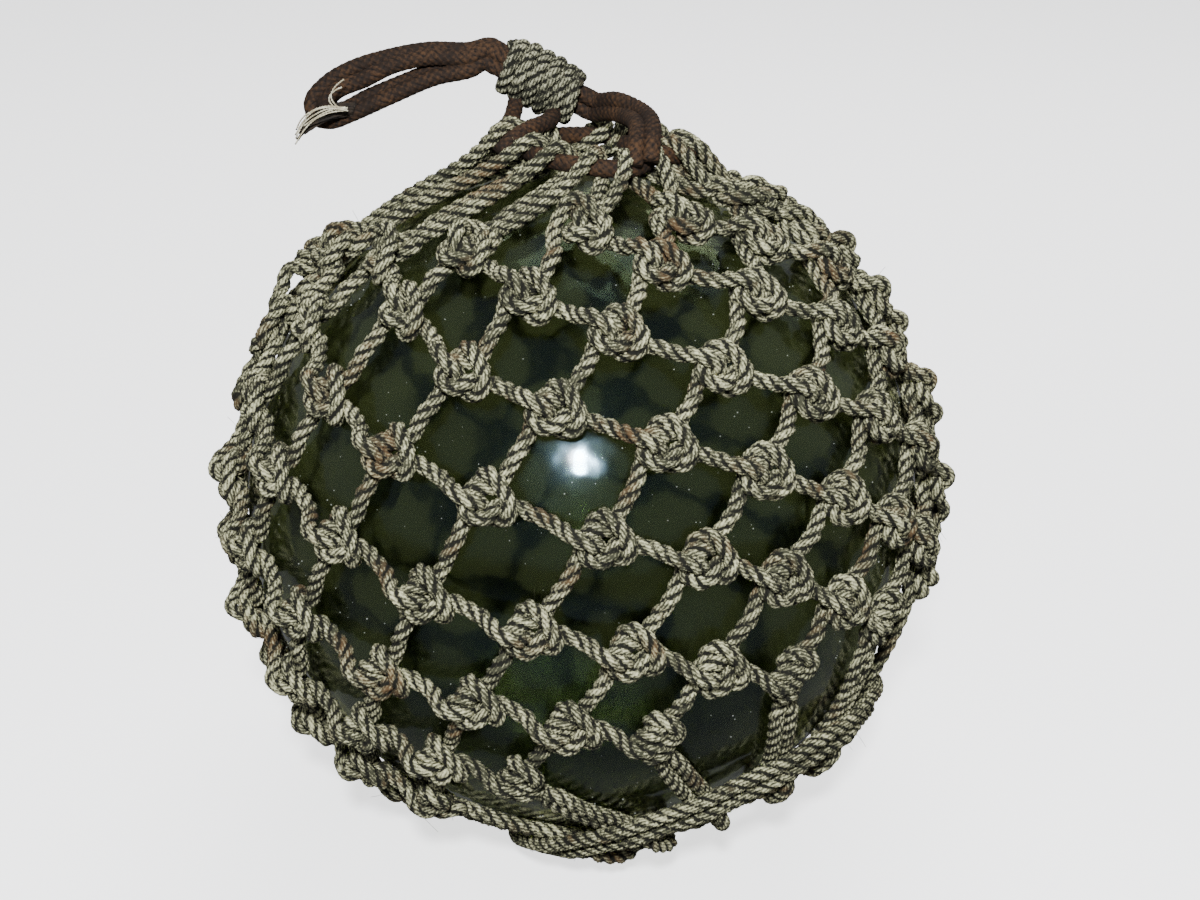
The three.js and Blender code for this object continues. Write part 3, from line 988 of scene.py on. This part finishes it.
@dataclass
class RopeNet:
    """The rope net: knotted chains that close in bights at the gather and at the closing rope."""

    place: Place
    plan: NetPlan
    keep_off: list[Array]
    lay: Lay = field(default_factory=lambda: Lay(crown=1.0, hollow=0.30))
    chains_in_piece: int = 2
    leg_step: float = 2.6
    closing_turns: float = 3.2
    closing_start: float = 250
    closing_outer: float = 36.5
    closing_narrows: float = 4.2
    closing_reach: float = 159.6
    fibres: int = 520

    def build(self) -> list[bpy.types.Object]:
        """Makes the net's pieces."""
        knots = KnotTier(self.plan).tie()
        LOG.info("tied %d knots", len(knots))
        tops = self._gather_bights()
        bottoms, closing = self._closing_bights()
        finish = RopeFinish("net_rope").make()
        loops = []
        for c in range(1, 2 * self.plan.meshes_round, 2):
            loops.append(self._loop(c, knots, tops, bottoms))
        pieces = []
        for i in range(0, len(loops), self.chains_in_piece):
            name = f"net_rope_{i // self.chains_in_piece + 1}"
            ropes = loops[i: i + self.chains_in_piece]
            pieces.append(self.lay.build(name, ropes, self.place, "net_rope"))
        pieces.append(self.lay.build("closing_rope", [closing], self.place, "net_rope"))
        pieces.append(self._fibres(loops + [closing]))
        for piece in pieces:
            finish_piece(piece, finish, "net")
        return pieces

    def _fibres(self, lines: list[Array]) -> bpy.types.Object:
        """Fine broken fibres that stand off the ropes."""
        rng = np.random.default_rng(31)
        hairs = []
        for _ in range(self.fibres):
            line = lines[rng.integers(len(lines))]
            at = line[rng.integers(2, len(line) - 2)]
            away = unit(at) + rng.normal(0, 0.7, 3)
            start = at + unit(square(away, unit(at)) + unit(at) * 0.8) * (ROPE_R * 0.85)
            bend = rng.normal(0, 1, 3)
            size = rng.uniform(2.0, 5.5)
            way = unit(unit(at) * 0.6 + rng.normal(0, 0.8, 3))
            shares = (0, 0.35, 0.7, 1.0)
            hairs.append(np.array([start + way * size * t + bend * (t * t * size * 0.35) for t in shares]))
        lay = Lay(radius=0.085, pitch=50.0, step=1.5, sides=3, lobes=1, hollow=0.0)
        hairs = [self._above_ground(hair, 0.1) for hair in hairs]
        return lay.build("net_fibres", hairs, self.place, "net_rope")

    def _loop(
        self,
        c: int,
        knots: dict[tuple[int, int], tuple[Array, Array]],
        tops: dict[int, Array],
        bottoms: dict[int, Array],
    ) -> Array:
        """One closed run of rope: up chain c, over its gather bight, down chain c + 1.

        Args:
            c: odd number of the first chain.
            knots: the tied knots.
            tops: gather bights by the half column of the knot on their left.
            bottoms: closing bights by the half column of their knot.

        Returns:
            The centreline.
        """
        columns = 2 * self.plan.meshes_round
        bottom = bottoms[(c + 1) % columns]
        half = len(bottom) // 2
        parts = [bottom[half:]]
        for row in range(self.plan.last_row, self.plan.first_row - 1, -1):
            if (row - c) % 2 == 0:
                parts.append(knots[(row, c % columns)][0])
            else:
                parts.append(knots[(row, (c + 1) % columns)][1][::-1])
        parts.append(tops[c % columns])
        for row in range(self.plan.first_row, self.plan.last_row + 1):
            if (row - c - 1) % 2 == 0:
                parts.append(knots[(row, (c + 1) % columns)][0][::-1])
            else:
                parts.append(knots[(row, (c + 2) % columns)][1])
        parts.append(bottom[: half + 1])
        line = [parts[0]]
        for part in parts[1:]:
            line.append(part[1:])
        return np.concatenate(line)

    def _settled(
        self, lines: list[Array], fixed: list[Array], limit: Callable[[Array], Array]
    ) -> list[Array]:
        """Lets free ropes settle among fixed ones, the ends of the free ones held."""
        every = lines + fixed
        cuts = [0]
        for line in every:
            cuts.append(cuts[-1] + len(line))
        nodes = np.concatenate(every)
        held = np.zeros(len(nodes), bool)
        for k, (low, high) in enumerate(zip(cuts[:-1], cuts[1:])):
            if k >= len(lines):
                held[low:high] = True
            else:
                held[[low, low + 1, high - 2, high - 1]] = True
        tightener = Tightener(steps=160, pull=0.30, late_pull=0.20, skip=5, lay_down=0.0)
        done = tightener.settle(nodes[None], cuts, held, np.zeros((1, 3)), limit)[0]
        return [done[low:high] for low, high in zip(cuts[:-1], cuts[1:])][: len(lines)]

    def _bight(self, start: Array, over: list[Array], end: Array) -> Array:
        """One bight's line before it settles.

        Args:
            start: where it leaves a knot's leg.
            over: points over and under the rope that it goes round.
            end: where it joins the next leg.

        Returns:
            Its points, evenly spaced.
        """
        first = arc(start, over[0], 8)
        last = arc(over[-1], end, 8)
        line = np.concatenate([first, np.array(over[1:-1]), last])
        return eased(evenly(line, int(lengths(line)[-1] / self.leg_step)), 3)

    def _gather_bights(self) -> dict[int, Array]:
        """The bights of the top meshes, each round the drawing cord.

        Returns:
            By the half column of the knot on its left: points from that knot's upper right leg
            to its right neighbour's upper left leg.
        """
        plan, row = self.plan, self.plan.first_row
        lines, keys = [], []
        for h in range(abs(row) % 2, 2 * plan.meshes_round, 2):
            start = plan.port((row, h), Port.UPPER_RIGHT)
            end = plan.port((row, h + 2), Port.UPPER_LEFT)
            a = plan.turn(row, h) + plan.gather_spread
            b = plan.turn(row, h + 2) - plan.gather_spread
            deep = plan.gather_angle - 4.6 - 1.6 * (1 + plan.uneven(row, h, 4))
            mid = (a + b) / 2
            edge = plan.gather_angle
            over = (
                (edge + 4, a, 158),
                (edge, a + 1, 166.5),
                (deep + 2, mid - 1, 166.5),
                (deep, mid, 160.5),
                (deep + 2, mid + 1, 154.4),
                (edge, b - 1, 153.6),
                (edge + 4, b, 153.6),
            )
            over = [on_axis(plan.gather, t, p) * reach for t, p, reach in over]
            lines.append(self._bight(start, over, end))
            keys.append(h)
        settled = self._settled(lines, self.keep_off, self._off_lashing)
        return dict(zip(keys, settled))

    def _off_lashing(self, x: Array) -> Array:
        """Moves points out of the lashing and the cords in it."""
        a, b = Lashing.RIGHT, Lashing.LEFT
        along = np.clip(((x - a) @ (b - a)) / float((b - a) @ (b - a)), 0, 1)[..., None]
        foot = a + along * (b - a)
        off = x - foot
        far = np.linalg.norm(off, axis=-1, keepdims=True)
        keep = Lashing.RADIUS + ROPE_R + 0.6
        return np.where(far < keep, foot + off / np.maximum(far, 1e-6) * keep, x)

    def _above_ground(self, x: Array, clear: float = ROPE_R) -> Array:
        """Lifts points that lie under the ground or less than clear above it."""
        x = x.copy()
        x[..., 2] = np.maximum(x[..., 2], -STAND + clear)
        return x

    def _closing_bights(self) -> tuple[dict[int, Array], Array]:
        """The bights under the last row, and the closing rope that runs through them.

        Returns:
            By the half column of a knot: points from its lower right leg to its lower left leg;
            and the closing rope's centreline.
        """
        plan, row = self.plan, self.plan.last_row
        axis = -plan.closing
        lines, keys = [], []
        for h in range(abs(row) % 2, 2 * plan.meshes_round, 2):
            start = plan.port((row, h), Port.LOWER_RIGHT)
            end = plan.port((row, h), Port.LOWER_LEFT)
            a = plan.turn(row, h) + plan.closing_spread
            b = plan.turn(row, h) - plan.closing_spread
            deep = plan.closing_angle - 7.5 - 1.2 * plan.uneven(row, h, 5)
            mid = (a + b) / 2
            edge, deep = 180 - plan.closing_angle, 180 - deep
            over = (
                (edge - 5.5, a, 157),
                (edge - 1, a, 165.5),
                (deep - 2, mid + 1.5, 165.5),
                (deep + 1.2, mid, 160),
                (deep - 2, mid - 1.5, 154.4),
                (edge - 1, b, 153.6),
                (edge - 5.5, b, 153.6),
            )
            over = [on_axis(axis, t, p) * reach for t, p, reach in over]
            lines.append(self._bight(start, over, end))
            keys.append(h)
        turns = np.linspace(0, self.closing_turns, int(self.closing_turns * 150))
        around = self.closing_start + turns * 360
        theta = self.closing_outer - self.closing_narrows * turns
        rope = [on_axis(axis, 180 - t, p) * self.closing_reach for t, p in zip(theta, around)]
        rope = self._above_ground(np.array(rope))
        settled = self._settled(lines + [rope], [], self._above_ground)
        return dict(zip(keys, settled)), settled[-1]


@dataclass
class Lashing:
    """Turns of net rope round the carrying cords."""

    place: Place
    turns: int = 6
    rope_radius: float = 3.35
    core_reach: float = 9.8
    slant: float = 1.2
    pitch: float = 15.5
    fullness: float = 1.05
    taper: float = 0.14

    RIGHT = np.array([0.5, 36.0, 170.8])
    LEFT = np.array([-36.5, 41.3, 187.6])
    RADIUS = 13.3

    def axes(self) -> tuple[Array, Array, Array]:
        """The lashing's own axis, its up and its side."""
        axis = unit(self.LEFT - self.RIGHT)
        up = unit(square(vec(0, 0.3, 0.95), axis))
        return axis, up, np.cross(axis, up)

    def build(self) -> bpy.types.Object:
        """Makes the wound rope with its tucked ends."""
        axis, up, side = self.axes()
        length = float(np.linalg.norm(self.LEFT - self.RIGHT))
        t = np.linspace(0, self.turns, self.turns * 40)
        angle = 2 * math.pi * t
        margin = self.rope_radius * 0.9
        along = margin + (length - 2 * margin) * t / self.turns + self.slant * np.cos(angle - 0.25)
        fade = np.clip(np.minimum(t, self.turns - t) / 0.35, 0, 1)
        along = along + (1 - fade) * np.where(t < 1, 1.0, -1.0) * 1.6
        belly = self.fullness - self.taper * (t - self.turns / 2) ** 2 / (self.turns / 2) ** 2
        reach = (self.core_reach + 0.45 * np.cos(4 * angle)) * belly + 0.35 * np.sin(t * 5.1)
        line = (
            self.RIGHT
            + axis * along[:, None]
            + (up * np.cos(angle)[:, None] - side * np.sin(angle)[:, None]) * reach[:, None]
        )
        inner = (up * math.cos(angle[0]) - side * math.sin(angle[0])) * (self.core_reach - 6)
        head = self.RIGHT + axis * 9 + inner
        tail = self.LEFT - axis * 9 + inner
        line = np.vstack([head, line, tail])
        lay = Lay(radius=self.rope_radius, pitch=self.pitch, step=1.1)
        piece = lay.build("lashing_rope", [eased(evenly(line, 700), 6)], self.place, "net_rope")
        # Painted shade: the lashing gets a darker copy of the net rope's colours, as if it lay in shade.
        crown, dull = (0.36, 0.355, 0.235), (0.026, 0.026, 0.016)
        finish = RopeFinish("lashing_rope", crown=crown, crown_dull=dull, pitch=self.pitch * MM)
        finish_piece(piece, finish.make(), "lashing")
        return piece


@dataclass
class CarryingLoop:
    """Two braided cords side by side: up from the gather, through the lashing, round and back."""

    place: Place
    lashing: Lashing
    face_gap: float = 0.6
    sides: int = 30
    step: float = 0.8
    pitch: float = 21.0

    # Where each cord runs round the loop, from the lashing's left face: left of it, behind it, above it.
    OUTER_RUN = (
        (12, 0.5, 4),
        (29.5, 1, 4),
        (47, 1, 1),
        (63.5, 1, -4),
        (75, 0.5, -10.5),
        (81.5, -1.5, -18),
        (79.5, -4.5, -24),
        (73, -7, -25),
        (63.5, -8, -21.5),
        (45.5, -8.5, -13.5),
        (27, -7.5, -6),
        (11.5, -5.5, -3),
    )
    INNER_RUN = (
        (11.5, -4.5, 2),
        (30, -5, 2),
        (45.5, -5, -1.5),
        (58, -5, -7.5),
        (70, -4.5, -12.5),
        (76, -3.5, -19.5),
        (69, -2, -21.5),
        (57, -1.5, -16),
        (42.5, -1.5, -10),
        (25, -1.5, -3.5),
        (11, -1.5, -1),
    )

    def rise(self, way: int) -> list[Array]:
        """Points from the gather's right up to the lashing; way is -1 at the back, 1 in front."""
        axis, _, _ = self.lashing.axes()
        end = Lashing.RIGHT - axis * self.face_gap
        side = unit(square(vec(0.5, -0.35, 0.8), axis)) * way * 3.3
        beside = vec(3.3, 1.0, 0.6) * way
        return [
            vec(24.5, -28, 160) + beside,
            vec(25.5, -22, 167) + beside,
            vec(26, -9, 171) + beside * 0.9 + vec(0, 0, 0.2 * way),
            vec(22.5, 8, 171.5) + beside * 0.6 + side * 0.4,
            vec(14, 23, 171.5) + side,
            end - axis * 5 + side,
            end + side,
        ]

    def loop(self, way: int) -> list[Array]:
        """Points of the loop from the lashing's left face and back to it; way is 1 at the back."""
        axis, up, side = self.lashing.axes()
        face = Lashing.LEFT + axis * self.face_gap
        if way > 0:
            out, back = up * 4.2 + side * 1.5, side * -2.6 - up * 3.4
            run = self.OUTER_RUN
        else:
            out, back = up * 1.6 - side * 3.0, side * 2.2 - up * 2.6
            run = self.INNER_RUN
        away = [face + out, face + axis * 5 + out]
        home = [face + axis * 4 + back, face + back]
        return away + [Lashing.LEFT + vec(-left, toward, rise) for left, toward, rise in run] + home

    def under(self, way: int) -> list[Array]:
        """Points from under the lashing down to the drawing cord; way is -1 at the left."""
        down = unit(vec(0, -0.2, -1))
        start = Lashing.LEFT + (Lashing.RIGHT - Lashing.LEFT) * (0.62 if way > 0 else 0.22)
        run = [vec(-29.5, 31, 167), vec(-31.5, 22, 163.5), vec(-31, 12, 161), vec(-27, 4, 156.5)]
        if way > 0:
            run = [vec(-13, 24, 166), vec(-20, 13, 165), vec(-27, 3, 163.5), vec(-34, -5, 158.5)]
        return [start + down * 8, *run]

    def line(self, back: bool) -> Array:
        """One cord's whole centreline, from the gather to its end in the net."""
        rise = self.rise(-1 if back else 1)
        loop = self.loop(1 if back else -1)
        under = self.under(-1 if back else 1)
        first = [rise[-1] + (loop[0] - rise[-1]) * t for t in (0.25, 0.5, 0.75)]
        inside = loop[-1] + (under[0] - loop[-1]) * 0.45 + vec(0, 0, 2.0)
        return curve_through(rise + first + loop + [inside] + under, self.step)

    def gather_cord(self, plan: NetPlan) -> Array:
        """The drawing cord on the ball, through the bights of the net."""
        start = 62.0
        points = [vec(22, 1, 158.5)]
        for t in np.linspace(0, 1, 40):
            angle = plan.gather_angle - 5.5 * (1 - min(1.0, 9 * t)) - 5.5 * (1 - min(1.0, 9 * (1 - t)))
            points.append(on_axis(plan.gather, angle, start + 352 * t) * 160.2)
        points.append(vec(18, 11, 158.5))
        return eased(curve_through(points, 2.4), 6)

    def _braid(self) -> Lay:
        """The skin of a plaited cord, its lanes crossing over and under."""
        plaits, pitch = 6, self.pitch

        def weave(run: Array, share: Array) -> Array:
            one = plaits * (share + run / pitch)
            two = plaits * (share - run / pitch)
            over = (np.floor(one) + np.floor(two)) % 2 < 1
            ridge, other = np.sin(math.pi * (one % 1)), np.sin(math.pi * (two % 1))
            top, low = np.where(over, ridge, other), np.where(over, other, ridge)
            return np.sqrt(np.clip(top, 0, 1)) * (0.5 + 0.5 * np.clip(low, 0, 1))

        return Lay(radius=CORD_R, pitch=1e9, step=self.step, sides=self.sides, bump=weave)

    def build(self, plan: NetPlan, held: Sequence[bpy.types.Object]) -> list[bpy.types.Object]:
        """Makes both cords and the drawing cord.

        Args:
            plan: the net, for the gather.
            held: not used.

        Returns:
            The pieces.
        """
        finish = CordFinish("braided_cord").make()
        pieces = []
        for back in (True, False):
            side, below = ("back", "left") if back else ("front", "right")
            name = f"carrying_cord_{side}"
            line = self.line(back)
            piece = self._braid().build(name, [line], self.place, "brown_cord")
            finish_piece(piece, finish, f"cord_loop_{side}", f"cord_rise_{side}", f"cord_under_{below}")
            path = self.place.metres(line[::2])
            pieces.append(piece)
        ring = self._braid().build("drawing_cord", [self.gather_cord(plan)], self.place, "brown_cord")
        finish_piece(ring, finish)
        pieces.append(ring)
        return pieces


@dataclass
class FrayedEnd:
    """A worn tail of cord that opens into loose yarns at the loop's fold."""

    place: Place
    yarns: int = 38
    yarn_radius: float = 0.68
    spread: float = 2.2

    def _tail(self) -> list[Array]:
        """The dark yarns of the tail."""
        rng = np.random.default_rng(5)
        bend = [vec(-106.5, 26, 168.5), vec(-113.5, 23.5, 166.5), vec(-119, 23, 163)]
        spine = curve_through([vec(-99, 32, 168), *bend, vec(-122.5, 22.5, 159)], 1.5)
        shares = np.linspace(0, 1, len(spine))[:, None]
        lines: list[Array] = []
        for i in range(self.yarns):
            a = 2.399 * i
            start = math.sqrt((i + 0.5) / self.yarns) * 3.3
            way = vec(0.35 * math.cos(a), math.sin(a), 0.8 * math.cos(a))
            fan = start * (1 + shares * rng.uniform(-0.1, self.spread) * 0.5)
            wave = np.sin(shares * rng.uniform(4, 9) + rng.uniform(0, 6)) * rng.uniform(0.2, 1.5) * shares
            line = spine + way * fan + rng.normal(0, 1, 3) * wave
            lines.append(line[: max(6, int(len(line) * rng.uniform(0.72, 1.0)))])
        return lines

    def _loose(self) -> list[Array]:
        """Pale yarns that curl over the tail."""
        rng = np.random.default_rng(9)
        lines = []
        over = [vec(-100, 20.5, 171), vec(-107, 20, 171.5), vec(-113.5, 19.5, 169.5)]
        over += [vec(-119, 19.5, 165), vec(-122.5, 20, 159.5)]
        curl = [vec(-104, 20, 171), vec(-107.5, 19.5, 175.5), vec(-105.5, 20, 179.5), vec(-101.5, 21, 182)]
        for i in range(5):
            lift = vec(0, -1.0 - 0.5 * (i % 3), 2.2 - 1.2 * i)
            shares = (0.1, 0.5, 0.9, 1.0, 1.1)
            points = [p + lift * t + rng.normal(0, 0.35, 3) for p, t in zip(over, shares)]
            lines.append(curve_through(points[: 5 - (i % 4 == 3)], 1.4))
        for sway in (-0.6, 0.5):
            lines.append(curve_through([p + vec(sway, 0, sway * t) for t, p in enumerate(curl)], 1.4))
        return lines

    def build(self) -> list[bpy.types.Object]:
        """Makes the tail and its loose yarns."""
        lay = Lay(radius=self.yarn_radius, pitch=6.0, step=1.3, sides=6, lobes=2, hollow=0.2)
        dark = lay.build("frayed_tail", self._tail(), self.place, "frayed_cord")
        tarred = PlainFinish("frayed_yarn", (0.024, 0.015, 0.008), (0.006, 0.004, 0.0025), 0.95, 220.0)
        bare = PlainFinish("loose_yarn", (0.62, 0.58, 0.44), (0.34, 0.30, 0.20), 0.9, 300.0)
        finish_piece(dark, tarred.make(), "frayed_end")
        pale_lay = Lay(radius=0.42, pitch=6.0, step=1.3, sides=6, lobes=2, hollow=0.2)
        pale = pale_lay.build("loose_yarns", self._loose(), self.place, "frayed_cord")
        finish_piece(pale, bare.make(), "frayed_end")
        return [dark, pale]


# ---- studio ------------------------------------------------------------------------------------------------
@dataclass
class Studio:
    """Floor, lights and camera."""

    place: Place
    elevation: float = 25.0
    distance: float = 0.8194
    focal_share: float = 1791.0 / 1200.0
    shift: tuple[float, float] = (0.0153, 0.0347)
    floor_size: float = 40.0

    def build(self) -> None:
        """Sets the studio up."""
        self._floor()
        self._camera()
        self._area("key", (-0.025, 1.15, 0.20), 0.10, 27.0, (0.97, 0.985, 1.0))
        self._area("top", (0.3, -0.1, 1.9), 1.8, 36.0, (1.0, 1.0, 1.0)).visible_glossy = False
        world = bpy.data.worlds.new("studio")
        bpy.context.scene.world = world
        world.use_nodes = True
        back = world.node_tree.nodes["Background"]
        back.inputs[0].default_value = (0.96, 0.98, 1.0, 1.0)
        back.inputs[1].default_value = 0.34

    def _floor(self) -> None:
        """A wide matt floor at the foot of the float."""
        deselect()
        bpy.ops.mesh.primitive_plane_add(size=self.floor_size, location=(0, 0, 0))
        floor = bpy.context.object
        floor.name = "floor"
        dress(floor, FloorFinish("floor_white").make())

    def _camera(self) -> None:
        """The camera on its line to the ball's centre."""
        data = bpy.data.cameras.new("camera")
        data.sensor_width = 36.0
        data.lens = 36.0 * self.focal_share
        data.shift_x, data.shift_y = self.shift
        camera = bpy.data.objects.new("camera", data)
        bpy.context.scene.collection.objects.link(camera)
        up = math.radians(self.elevation)
        away = Vector((0.0, -math.cos(up), math.sin(up)))
        camera.location = self.place.centre + away * self.distance
        camera.rotation_euler = (-away).to_track_quat("-Z", "Y").to_euler()
        bpy.context.scene.camera = camera

    def _area(
        self, name: str, at: tuple[float, float, float], size: float, power: float, colour: Colour
    ) -> bpy.types.Object:
        """A disc of light that faces the ball.

        Args:
            name: the light's name.
            at: its place from the ball's centre, in metres: right, along the camera's line, above it.
            size: the disc's width in metres.
            power: its watts.
            colour: its colour.

        Returns:
            The light.
        """
        right, far, above = at
        up = math.radians(self.elevation)
        away = Vector((0.0, -math.cos(up), math.sin(up)))
        rise = Vector((0.0, math.sin(up), math.cos(up)))
        data = bpy.data.lights.new(name, "AREA")
        data.shape, data.size, data.energy, data.color = "DISK", size, power, colour
        light = bpy.data.objects.new(name, data)
        bpy.context.scene.collection.objects.link(light)
        light.location = self.place.centre + away * far + Vector((right, 0, 0)) + rise * above
        light.rotation_euler = (self.place.centre - light.location).to_track_quat("-Z", "Y").to_euler()
        return light


def main() -> None:
    """Builds the float and the studio."""
    logging.basicConfig(level=logging.INFO, format="%(name)s: %(message)s")
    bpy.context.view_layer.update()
    deselect()
    place = Place.from_frame()
    plan = NetPlan()
    for piece in GlassBall(place).build():
        LOG.info("built %s", piece.name)
    lashing = Lashing(place)
    loop = CarryingLoop(place, lashing)
    keep_off = [loop.gather_cord(plan)]
    for way in (-1, 1):
        keep_off += [curve_through(loop.rise(way)[1:], 2.4), curve_through(loop.under(way), 2.4)]
    for piece in RopeNet(place, plan, keep_off).build():
        LOG.info("built %s", piece.name)
    wound = lashing.build()
    frayed = FrayedEnd(place).build()
    LOG.info("built %s and %d pieces of the frayed tail", wound.name, len(frayed))
    for piece in loop.build(plan, [wound, *frayed]):
        LOG.info("built %s", piece.name)
    Studio(place).build()


if __name__ == "__main__":
    main()
